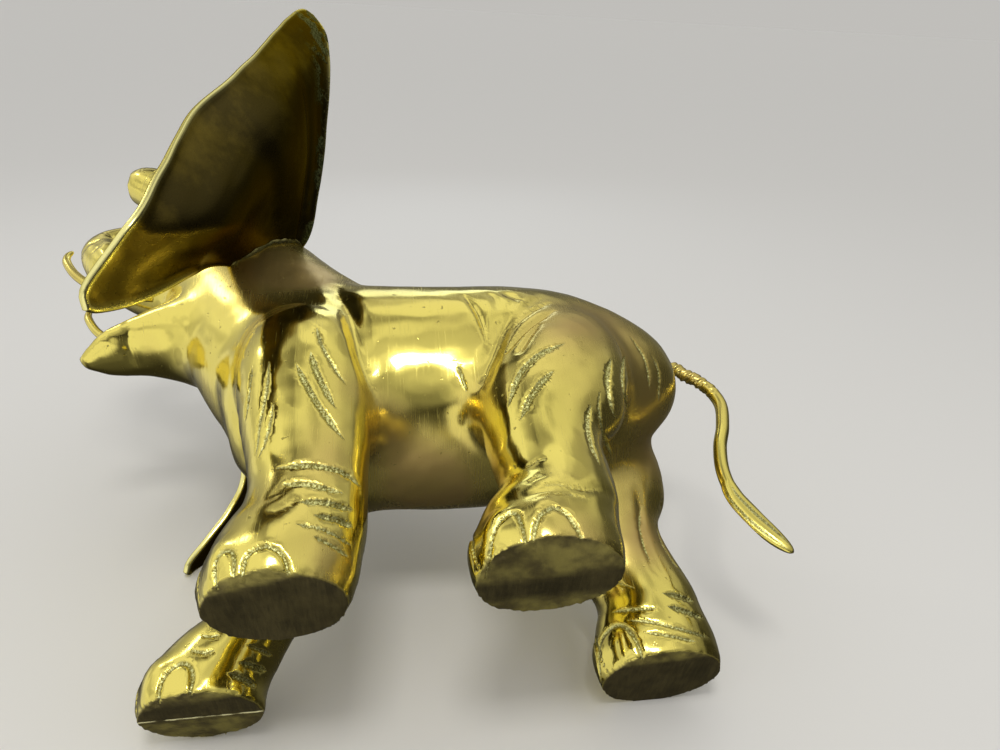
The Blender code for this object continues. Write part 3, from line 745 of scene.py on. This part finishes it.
def alongTrunk(verts):
    # Distance along the trunk's path of the nearest point on it, 0 away from the trunk
    path = evenRows(casting["trunk"], 160)[:, :3]
    lengths = np.concatenate([[0], np.cumsum(np.linalg.norm(np.diff(path, axis=0), axis=1))])
    near = np.flatnonzero((verts[:, 1] < -2.6) & (verts[:, 2] > 4.2))
    nearest = np.linalg.norm(verts[near][:, None] - path[None], axis=2).argmin(axis=1)
    measure = np.zeros(len(verts))
    measure[near] = np.where(nearest > 40, lengths[nearest], 0)
    return measure


def allStrokes(tree):
    strokes = []
    for style, limb, pixels in carving["strokes"]:
        points = strokeOnSkin(tree, pixels)
        strokes.append((style, points))
        if points[:, 0].min() > 0:
            strokes.append((style, mirroredStroke(tree, points, limb)))
    for arches in carving["nailArches"].values():
        strokes.extend(("nail", strokeOnSkin(tree, pixels)) for pixels in arches)
    for side in (1, -1):
        strokes.extend(("fine", loop) for loop in eyeLoops(tree, side))
        strokes.append(("nail", onSkin(tree, np.linspace(*carving["nostril"], 10) * (side, 1, 1))))
    for limb, bearings in carving["hiddenNails"].items():
        strokes.extend(("nail", nailArch(tree, limb, bearing)) for bearing in bearings)
    return strokes


def nearestOnStroke(verts, points, reach):
    # Which vertices lie within reach of the stroke, how far off, and how far along it
    low, high = points.min(axis=0) - reach, points.max(axis=0) + reach
    near = np.flatnonzero(((verts > low) & (verts < high)).all(axis=1))
    if len(near) == 0:
        return near, np.zeros(0), np.zeros(0)
    apart = np.linalg.norm(verts[near][:, None] - points[None], axis=2)
    place = apart.argmin(axis=1)
    distance = apart[np.arange(len(near)), place]
    inReach = distance < reach
    return near[inReach], distance[inReach], place[inReach] / (len(points) - 1)


def rimOfSoles(verts):
    # Low on a foot, and not in the middle of its sole
    rim = np.zeros(len(verts), bool)
    for limb, (profile, _, sole, *_) in casting["limbs"].items():
        (halfLength, halfWidth), sideways = casting["feet"][profile], leanAt(limb, 0.0)[1]
        out = np.hypot((verts[:, 0] - sideways) / halfWidth, (verts[:, 1] - sole) / halfLength)
        rim |= (verts[:, 2] < 0.2) & (out > 0.80) & (out < 1.5)
    return rim


def carve(verts, triangles, strokes):
    # Refine round each cut, then push the skin in. A fold is depth * exp(-(distance / width)^2), and a cut
    # is depth * (1 - (distance / width)^2); both get shallower, and cuts narrower, towards the ends
    for share in carving["refineRounds"]:
        marked = np.zeros(len(verts), bool)
        for style, points in strokes:
            width = carving["styles"][style][0]
            if width < carving["refineBelow"]:
                reach = carving["refineReach"] * width * millimetre * share + 0.01
                marked[nearestOnStroke(verts, points, reach)[0]] = True
        if share == 1.0:
            marked |= rimOfSoles(verts)
        marked |= fromRidge(verts) < soles["ridgeReach"] * share
        verts, triangles, fresh = refined(verts, triangles, marked)
        pairs, _ = edgePairs(triangles, len(verts))
        loose = np.concatenate([marked, fresh])
        for _ in range(2):
            verts[loose] += 0.4 * (neighbourMean(verts, pairs) - verts)[loose]
    normals = surfaceNormals(verts, triangles)
    cut, fold, grit = (np.zeros(len(verts)) for _ in range(3))
    raggedEdge, raggedDepth = carving["ragged"]
    for number, (style, points) in enumerate(strokes):
        width, depth, gritShare = carving["styles"][style]
        width, depth = width * millimetre, depth * millimetre
        near, distance, along = nearestOnStroke(verts, points, 3 * width if gritShare == 0 else 1.2 * width)
        if gritShare == 0:
            taper = np.clip(np.sin(np.pi * np.clip(along, 0, 1)) * 1.6, 0, 1)
            fold[near] = np.maximum(fold[near], depth * taper * np.exp(-(distance / width) ** 2))
            continue
        ends = 0.85 if style == "nail" else 1.5
        taper = np.clip(np.sin(np.pi * np.clip(along, 0, 1)) * ends + (0.5 if style == "nail" else 0.12), 0, 1)
        rough = 1 + raggedEdge * ripples(verts[near], 0.05, number, 8)
        trough = np.clip(1 - (distance / (width * taper * rough)) ** 2, 0, 1)
        deep = depth * taper * trough * (1 + raggedDepth * ripples(verts[near], 0.03, number + 500, 8))
        cut[near] = np.maximum(cut[near], deep)
        grit[near] = np.maximum(grit[near], gritShare * trough ** 0.5)
    return verts - normals * (cut + fold)[:, None], triangles, grit


soles = {
    # facets filed across each sole: bearing of the high side from the front outwards, distance of the
    # ridge, slope
    "facets": {
        "foreLeft": [(75, 0.31, 0.26)],
        "foreRight": [(90, -0.015, 0.075), (-80, 0.26, 0.10)],
        "hindLeft": [(84, 0.02, 0.11), (-92, 0.18, 0.06)],
        "hindRight": [(-85, 0.30, 0.16)],
    },
    "ridgeHighlight": ("foreRight", 90, -0.015, 0.011),      # a ridge line painted with a bright highlight: bearing, distance, half width
    "ridgeDepth": 0.006,
    "ridgeReach": 0.05,       # how far round it the mesh is refined
    "roughness": 0.004,
}


def pastRidge(verts, limb, bearing, ridge):
    # Distance past a line across a limb's sole, towards its bearing
    middle, sideways = leanAt(limb, 0.0)
    b = math.radians(bearing)
    towards = np.array((math.sin(b) * np.sign(sideways), -math.cos(b)))
    return (verts[:, :2] - (sideways, middle)) @ towards - ridge


def fromRidge(verts):
    # Distance from the ridge line that carries the painted highlight, and far away for anything that isn't on
    # that sole
    limb, bearing, ridge, _ = soles["ridgeHighlight"]
    middle, sideways = leanAt(limb, 0.0)
    onSole = (verts[:, 2] < 0.1) & (np.abs(verts[:, :2] - (sideways, middle)).max(axis=1) < 0.6)
    return np.where(onSole, np.abs(pastRidge(verts, limb, bearing, ridge)), 9.0)


def fileSoles(verts, triangles):
    # Under each foot height = max over facets of slope * (distance past its ridge), never below the ground
    normals = surfaceNormals(verts, triangles)
    filed, bevel = np.zeros(len(verts)), np.zeros(len(verts))
    # a narrow band along the ridge, raised a little and painted bright as a highlight
    ridgeGlint = np.exp(-(fromRidge(verts) / soles["ridgeHighlight"][3]) ** 2)
    ridgeGlint *= np.clip(0.8 + 0.4 * ripples(verts, 0.15, 51), 0, 1)
    low = verts[:, 2] < 0.12
    for limb, facets in soles["facets"].items():
        middle, sideways = leanAt(limb, 0.0)
        offset = verts[:, :2] - (sideways, middle)
        mine = low & (np.abs(offset).max(axis=1) < 0.75)
        floor = np.zeros(len(verts))
        for bearing, ridge, slope in facets:
            floor = np.maximum(floor, slope * pastRidge(verts, limb, bearing, ridge))
        if limb == soles["ridgeHighlight"][0]:
            floor = np.maximum(floor, soles["ridgeDepth"] * ridgeGlint)
        under = mine & ((normals[:, 2] < -0.72) | (verts[:, 2] < floor))
        rough = soles["roughness"] * ripples(verts[under], 0.08, 31) * (floor[under] > 0.003)
        verts[under, 2] = np.maximum(floor[under] + rough, 0.0)
        filed[under] = 1.0
        # the higher a facet stands, the more painted sheen it gets in place of the shading of its tilt
        bevel[under] = np.clip(floor[under] / 0.006, 0, 1)
    return verts, filed, bevel, ridgeGlint * filed


def buildBody(material):
    verts, triangles = meltedForm()
    verts = settledForm(verts, triangles)
    print("melted form:", len(triangles), "triangles")
    tree = BVHTree.FromPolygons(verts.tolist(), triangles.tolist())
    strokes = allStrokes(tree)
    verts, triangles, grit = carve(verts, triangles, strokes)
    normals = surfaceNormals(verts, triangles)
    wobble = ripples(verts, 0.42, 3) + 0.5 * ripples(verts, 0.2, 4)
    verts = verts + normals * (casting["castingWobble"] * millimetre * wobble * (verts[:, 2] > 0.1))[:, None]
    radius, height = carving["eye"]["bulge"]
    for side in (1, -1):
        eye = onSkin(tree, np.array([carving["eye"]["place"]]) * (side, 1, 1))[0]
        ball = np.clip(1 - ((verts - eye) ** 2).sum(axis=1) / radius ** 2, 0, 1)
        verts = verts + normals * (height * millimetre * ball)[:, None]
    verts, filed, bevel, ridgeGlint = fileSoles(verts, triangles)
    dull = satinPatches(tree, verts)
    print("carved body:", len(triangles), "triangles,", len(strokes), "strokes")
    return makePiece("castBody", verts, triangles, material,
                     {"cut": grit, "filed": filed, "bevel": bevel, "ridgeGlint": ridgeGlint, "dull": dull,
                      "alongTrunk": alongTrunk(verts)}), tree


# An ear is one bowed sheet between four edges
ears = {
    "thickness": 3.4,         # millimetres
    "root": [(0.30, -1.78, 4.62), (0.28, -1.50, 4.74)],
    "lower": [
        (0.30, -1.78, 4.62), (0.50, -1.74, 4.33), (0.80, -1.81, 3.96), (1.10, -1.88, 3.53),
        (1.42, -1.89, 2.97), (1.52, -2.03, 2.63), (1.60, -2.22, 2.33), (1.70, -2.40, 2.12),
        (1.80, -2.45, 2.03)],
    "rim": [
        (1.80, -2.45, 2.03), (1.96, -2.44, 2.12), (2.20, -2.19, 2.40), (2.30, -2.07, 2.60),
        (2.39, -1.97, 3.14), (2.47, -1.84, 3.95), (2.50, -1.63, 4.45), (2.50, -1.43, 5.10),
        (2.44, -1.20, 6.20), (2.35, -1.07, 6.80), (2.22, -0.95, 6.98)],
    "upper": [
        (0.28, -1.50, 4.74), (0.50, -1.12, 4.81), (0.95, -0.97, 5.18), (1.45, -0.86, 5.64),
        (1.75, -0.82, 5.89), (2.00, -0.79, 6.25), (2.15, -0.84, 6.69), (2.22, -0.95, 6.98)],
    "edgeRounding": 0.45,     # of half the thickness
    "hollow": 0.12,
    "folds": 0.035,
    "rear": 0.80,             # share of the way up where the rear edge begins
    "curl": 0.045,            # of the rear edge, backwards
    "pleat": 0.030,
    "crust": (0.86, 0.08),    # where the crust begins, and how soon it is full
    "wobble": 0.22,           # millimetres
    "acrossSheet": 3.0,       # modules, near enough for the rounding
    "columns": 84,
    "rows": 110,
    "rimShares": (0.016, 0.010),
}


def crowdedShares(count, edge):
    # Shares from 0 to 1 that crowd together near both ends, where the rim is rounded
    inner = np.linspace(edge, 1 - edge, count)
    steps = edge * np.array((0.0, 0.04, 0.14, 0.32, 0.6))
    return np.concatenate([steps, inner, 1 - steps[::-1]])


def earShell(side):
    # Coons patch between the four edges, bowed back by hollow * sin(pi u) * sin(pi v), with soft folds;
    # the two faces part by thickness * sqrt(1 - (1 - distance to the edge)^2) near the rim, to round it
    u = crowdedShares(ears["columns"], ears["rimShares"][0])[:, None, None]
    v = crowdedShares(ears["rows"], ears["rimShares"][1])[None, :, None]
    fine = {edge: evenRows(ears[edge], 400) for edge in ("lower", "upper", "root", "rim")}
    shares = np.linspace(0, 1, 400)
    curve = lambda edge, share: np.stack([np.interp(share, shares, column) for column in fine[edge].T], axis=-1)
    lower, upper = curve("lower", u[:, :, 0]), curve("upper", u[:, :, 0])
    root, rim = curve("root", v[:, :, 0]), curve("rim", v[:, :, 0])
    corners = ((1 - u) * (1 - v) * root[:, :1] + (1 - u) * v * root[:, -1:]
               + u * (1 - v) * rim[:, :1] + u * v * rim[:, -1:])
    patch = (1 - v) * lower + v * upper + (1 - u) * root + u * rim - corners
    folds = ears["folds"] * np.sin(np.pi * v) * np.sin(np.pi * u) * np.cos(9.0 * u + 3.0 * v)
    bow = ears["hollow"] * np.sin(np.pi * u) * np.sin(np.pi * v) + folds
    rear = ears["rear"]
    bow = bow + ears["curl"] * np.clip((v - rear) / (1 - rear), 0, 1) ** 2 * np.sin(np.pi * u) ** 0.5
    bow = bow - ears["pleat"] * np.exp(-((v - rear) / 0.045) ** 2) * np.sin(np.pi * u)
    patch = patch + bow * np.array((0.0, 1.0, 0.0))
    across = np.cross(np.gradient(patch, axis=0), np.gradient(patch, axis=1))
    across /= np.maximum(np.linalg.norm(across, axis=2, keepdims=True), 1e-9)
    toEdge = np.minimum(np.minimum(1 - u, np.minimum(v, 1 - v) * 1.5) * ears["acrossSheet"], 10)
    half = ears["thickness"] / 2 * millimetre
    near = np.clip(toEdge / (ears["edgeRounding"] * half), 0, 1)
    part = half * np.sqrt(1 - (1 - near) ** 2)
    faces = np.stack([patch + across * part, patch - across * part])
    count, rows = patch.shape[:2]
    index = np.arange(2 * count * rows).reshape(2, count, rows)
    index[1, :, [0, -1]] = index[0, :, [0, -1]]
    index[1, [0, -1], :] = index[0, [0, -1], :]
    top, low = index
    quads = [np.stack([face[:-1, :-1], face[1:, :-1], face[1:, 1:], face[:-1, 1:]], axis=-1).reshape(-1, 4)
             for face in (top, low)]
    quads[1] = quads[1][:, ::-1]
    quads = np.vstack(quads)
    triangles = np.vstack([quads[:, [0, 1, 2]], quads[:, [0, 2, 3]]])
    used, triangles = np.unique(triangles, return_inverse=True)
    verts = faces.reshape(-1, 3)[used] * (side, 1, 1)
    crustFrom, crustFull = ears["crust"]
    marks = {"edge": np.clip(1.9 - toEdge / (0.8 * half), 0, 1),
             "rear": np.clip((v - crustFrom) / crustFull, 0, 1)}
    marks = {label: np.broadcast_to(values, (2, count, rows, 1)).reshape(-1)[used]
             for label, values in marks.items()}
    wobble = ears["wobble"] * millimetre * ripples(verts, 0.45, 8)
    verts = verts + wobble[:, None] * np.array((0, 1, 0))
    return verts, triangles.reshape(-1, 3), marks, patch * (side, 1, 1)


def buildEar(name, side, material):
    verts, triangles, marks, middle = earShell(side)
    print(name + ":", len(triangles), "triangles")
    return makePiece(name, verts, triangles, material, marks), middle


# A bent rod with lumps of braze at its root and a leaf-shaped tuft at its end
tailRod = {
    "path": [
        (0, 2.45, 3.18), (0, 2.80, 3.03), (0, 2.97, 2.88), (0, 3.13, 2.70), (0, 3.20, 2.44),
        (0, 3.12, 2.13), (0, 3.00, 1.86), (0, 2.925, 1.56), (0, 2.93, 1.28), (0, 3.01, 1.05),
        (0, 3.12, 0.82), (0, 3.25, 0.61)],
    "rod": 6.9, "tuftWidth": 10.8, "tuftThickness": 5.2,      # millimetres
    "tuftStart": 0.72,
    "brazeEnd": 0.34,         # share of the length with lumps of braze
    "lump": 0.19,
    "vein": 0.15,             # depth of the tuft's grooves, as a share of its radius
    "rings": 260, "points": 36,
}


def buildTail(material):
    # Ring radius = rod, swelling to a leaf; lumps near the root and grooves along the leaf
    path = evenRows(tailRod["path"], tailRod["rings"])
    share = np.linspace(0, 1, len(path))
    leaf = np.clip((share - tailRod["tuftStart"]) / (1 - tailRod["tuftStart"]), 0, 1)
    swell = np.sin(np.pi * 0.93 * leaf ** 0.85) ** 0.8
    taper = np.where(leaf > 0.5, 1 - 0.55 * ((leaf - 0.5) / 0.5) ** 3, 1) * np.sqrt(1 - 0.96 * leaf ** 30)
    rod, width, thickness = (tailRod[key] / 2 * millimetre for key in ("rod", "tuftWidth", "tuftThickness"))
    depth = (rod + (width - rod) * swell) * taper
    breadth = (rod + (thickness - rod) * swell) * taper
    angle = np.linspace(0, 2 * np.pi, tailRod["points"], endpoint=False)
    lumps = tailRod["lump"] * np.clip((tailRod["brazeEnd"] - share) * 8, 0, 1)
    pattern = (np.sin(share[:, None] * 150 + np.sin(angle) * 2) * np.cos(share[:, None] * 61 + angle * 2)
               + 0.5 * np.sin(share[:, None] * 333 + angle * 3))
    veins = ((swell > 0.2) * swell)[:, None] * np.abs(np.sin(angle * 3 + share[:, None] * 6)) ** 6
    surface = 1 + lumps[:, None] * pattern - tailRod["vein"] * veins
    rings = ovalRings(np.column_stack([path, breadth, depth]), len(angle), surface)
    verts, triangles = closedRings(rings)
    cut = np.concatenate([np.clip(tailRod["vein"] * veins * 9, 0, 1).ravel(), [0, 0]])
    dull = np.concatenate([np.repeat(np.clip(lumps * 3, 0, 0.5), len(angle)), [0, 0]])
    return makePiece("brazedTail", verts, triangles, material, {"cut": cut, "filed": 0 * cut, "dull": dull})


tusks = {
    "path": [
        (0.35, -2.66, 4.05), (0.37, -3.02, 4.08), (0.39, -3.29, 4.22), (0.40, -3.49, 4.40),
        (0.40, -3.63, 4.62), (0.40, -3.66, 4.75), (0.39, -3.63, 4.86)],
    "root": 5.4, "tip": 4.4,      # millimetres
    "pointStart": 0.84,
    "rings": 90, "points": 28,
}


def tuskRings(side):
    # Radius falls from root to tip with the square of the way along, and runs out to a rounded point
    path = evenRows(tusks["path"], tusks["rings"]) * (side, 1, 1)
    share = np.linspace(0, 1, len(path))
    radius = (tusks["root"] + (tusks["tip"] - tusks["root"]) * share ** 2) / 2 * millimetre
    point = np.clip((share - tusks["pointStart"]) / (1 - tusks["pointStart"]), 0, 1)
    radius = radius * np.sqrt(np.clip(1 - 0.72 * point - 0.27 * point ** 8, 0.01, 1))
    return ovalRings(np.column_stack([path, radius, radius]), tusks["points"])


def buildTusk(name, side, material):
    verts, triangles = closedRings(tuskRings(side))
    none = np.zeros(len(verts))
    return makePiece(name, verts, triangles, material, {"cut": none, "filed": none, "dull": none + 0.2})


seam = {
    "bead": 3.1,          # millimetres, round the sheet's middle
    "lumps": 0.14,
    "grit": 0.16,         # millimetres
    "rings": 220, "points": 24,
}


def earCrossing(middle, tree):
    # Along each line of the ear's middle sheet, the first point that lies outside the body
    crossing = []
    for line in middle.transpose(1, 0, 2)[2:-2:2]:
        for point in line:
            near, normal = tree.find_nearest(Vector(point))[:2]
            if (Vector(point) - near).dot(normal) > 0:
                crossing.append(near[:])
                break
    return np.array(crossing)


def buildSeam(name, middle, tree, material):
    # A lumpy bead of solder along the crossing: ring radius = bead * (1 + lumps * waves), thin at its ends
    path = evenRows(smoothRows(earCrossing(middle, tree), 1)[::4], seam["rings"])
    share = np.linspace(0, 1, len(path))
    radius = seam["bead"] * millimetre * np.clip(np.sin(np.pi * share) * 6, 0.15, 1) ** 0.5
    radius = radius * (1 + seam["lumps"] * ripples(path, 0.16, 41))
    verts, triangles = closedRings(ovalRings(np.column_stack([path, radius, radius]), seam["points"]))
    grit = seam["grit"] * millimetre * ripples(verts, 0.09, 21)
    verts = verts + surfaceNormals(verts, triangles) * grit[:, None]
    none = np.zeros(len(verts))
    return makePiece(name, verts, triangles, material, {"edge": none + 0.25, "rear": none + 0.5})


gold, dark = polishedBrass(), patinaAndReflectionBrass()
body, skinTree = buildBody(gold)
leftEar, leftMiddle = buildEar("castLeftEar", 1, dark)
rightEar, rightMiddle = buildEar("castRightEar", -1, dark)
tail = buildTail(gold)
leftTusk, rightTusk = buildTusk("castLeftTusk", 1, gold), buildTusk("castRightTusk", -1, gold)
seamPieces = [buildSeam("leftEarSeam", leftMiddle, skinTree, dark),
              buildSeam("rightEarSeam", rightMiddle, skinTree, dark)]
print("tail, tusks and seams built")

for piece, node in ((body, "body"), (leftEar, "left_ear"), (rightEar, "right_ear"), (tail, "tail"),
                    (leftTusk, "left_tusk"), (rightTusk, "right_tusk")):
    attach(piece, "root")
    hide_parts(node)
    "darkened_brass" if "ear" in node else "polished_brass"
for piece in seamPieces:
    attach(piece, "root")

# A pale floor, soft light and what the metal mirrors. Directions and places are the sculpture's own.
studio = {
    "floorNormal": (0.951, 0.017, 0.307),       # the sculpture lies on its right side
    "floorPoint": (-1.245, -1.81, 0.0),
    "floorSize": 30.0,                          # metres each way
    "floorColour": (0.80, 0.79, 0.77, 1.0),
    "roomColour": (0.66, 0.655, 0.64, 1.0),
    "horizonColour": (0.528, 0.517, 0.493, 1.0),   # the far floor's own shade
    "mirroredDark": (0.030, 0.028, 0.024, 1.0),  # what the metal mirrors: dark round it and soft light above
    "mirroredPale": (1.0, 0.985, 0.93, 1.0),
    # soft light for the mirror: direction, where its edge starts, where it is full, strength
    "glows": [
        ((0.952, 0.017, 0.307), 0.24, 0.42, 0.34),
        ((0.952, 0.017, 0.307), 0.50, 0.92, 0.46),
        ((0.22, -0.95, 0.12), 0.30, 0.90, 0.80),
        ((-0.15, 0.15, 0.97), 0.35, 0.95, 0.16),
        ((0.26, -0.46, -0.85), 0.945, 0.985, 0.60),
        ((-0.02, -0.50, -0.86), 0.83, 0.95, 1.00),
        ((-0.37, 0.03, -0.93), 0.55, 0.98, 0.10),
        ((0.503, 0.029, 0.864), 0.968, 0.982, 0.75),
    ],
    "shade": ((0.584, -0.254, 0.771), 0.90, 0.96, 0.54),     # the same way, taken off
    "unevenness": 0.5,
    "patches": (2.3, 0.47, 0.56, 0.42),       # noise scale, edges, share of the glow that they take off
}


def oneSided(name, colour):
    # Pale from its front, and see-through from behind
    material, shader, wire, _ = startMaterial(name)
    shader.inputs["Base Color"].default_value = colour
    shader.inputs["Roughness"].default_value = 0.9
    clear = wire.make("ShaderNodeBsdfTransparent")
    behind = wire.make("ShaderNodeNewGeometry", output=6)
    output = material.node_tree.nodes["Material Output"]
    mix = wire.make("ShaderNodeMixShader", None, {0: behind, 1: Wire(wire.tree, shader.outputs[0]), 2: clear})
    connect(mix, output.inputs["Surface"])
    return material


def buildFloor():
    normal = Vector(studio["floorNormal"]).normalized()
    first = normal.orthogonal().normalized()
    second = normal.cross(first)
    middle = Vector(studio["floorPoint"]) * unit + Vector((0, alongShift, 0))
    half = studio["floorSize"] / 2
    corners = [middle + first * a * half + second * b * half for a, b in ((-1, -1), (1, -1), (1, 1), (-1, 1))]
    mesh = bpy.data.meshes.new("paleFloor")
    mesh.from_pydata(corners, [], [(0, 1, 2, 3)])
    mesh.materials.append(oneSided("paleFloor", studio["floorColour"]))
    floor = bpy.data.objects.new("paleFloor", mesh)
    bpy.context.scene.collection.objects.link(floor)
    floor.visible_glossy = False
    return floor


def aimedLight(name, place, target, size, power, colour):
    light = bpy.data.lights.new(name, "AREA")
    light.shape = "RECTANGLE"
    light.size, light.size_y = size
    light.energy = power
    light.color = colour
    lamp = bpy.data.objects.new(name, light)
    lamp.location = Vector(place)
    lamp.rotation_euler = (Vector(target) - Vector(place)).to_track_quat("-Z", "Y").to_euler()
    bpy.context.scene.collection.objects.link(lamp)
    return lamp


def buildWorld():
    # Pale to the camera and the floor. The metal mirrors glows: sum of strength * step(direction . glow)
    world = bpy.data.worlds.new("studio")
    world.use_nodes = True
    tree = world.node_tree
    wire = Wire(tree)
    direction = wire.make("ShaderNodeTexCoord", output=0)
    glow = 0.0
    for towards, start, full, strength in studio["glows"]:
        glow = direction.towards(Vector(towards).normalized()).band(start, full) * strength + glow
    glow = glow * (1.0 + (direction.noise(1.7, 3.0, 0.5) - 0.52) * studio["unevenness"] * 1.6)
    size, low, high, share = studio["patches"]
    glow = glow * (1.0 + share * 0.4 - direction.noise(size, 1.0, 0.4).band(low, high) * share)
    towards, start, full, strength = studio["shade"]
    glow = glow - direction.towards(Vector(towards).normalized()).band(start, full) * strength
    mirrored = glow.held().tint(studio["mirroredDark"], studio["mirroredPale"])
    isMirrored = wire.make("ShaderNodeLightPath", output=3)
    seen = wire.make("ShaderNodeLightPath", output=0)
    colour = seen.tint(isMirrored.tint(studio["roomColour"], mirrored), studio["horizonColour"])
    connect(colour, tree.nodes["Background"].inputs["Color"])
    bpy.context.scene.world = world


floor = buildFloor()
buildWorld()
centre = Vector((0, alongShift, 2.9 * unit))
lamps = {     # direction from the sculpture, 1 metre off; size, power, colour
    "keyLight": ((0.99, -0.03, -0.15), (0.24, 0.20), 2.7, (1.0, 0.98, 0.92)),
    "headLight": ((0.35, -0.69, 0.63), (0.12, 0.12), 0.28, (1.0, 0.98, 0.92)),
    "backLight": ((0.08, 0.04, 1.0), (0.40, 0.20), 0.35, (0.84, 0.93, 1.0)),
}
for name, (direction, size, power, colour) in lamps.items():
    aimedLight(name, centre + Vector(direction).normalized(), centre, size, power, colour)
bpy.context.scene.view_settings.view_transform = "Standard"
print("studio built:", len(lamps), "lamps,", len(studio["glows"]), "glows")

cameraData = bpy.data.cameras.new("photoView")
cameraData.sensor_width = 36
cameraData.lens = photoCamera["lens"]
cameraData.clip_start = 0.01
camera = bpy.data.objects.new("photoView", cameraData)
camera.location = Vector(photoCamera["place"]) * unit + Vector((0, alongShift, 0))
camera.rotation_euler = [math.radians(angle) for angle in photoCamera["turn"]]
bpy.context.scene.collection.objects.link(camera)
bpy.context.scene.camera = camera

bpy.context.view_layer.update()
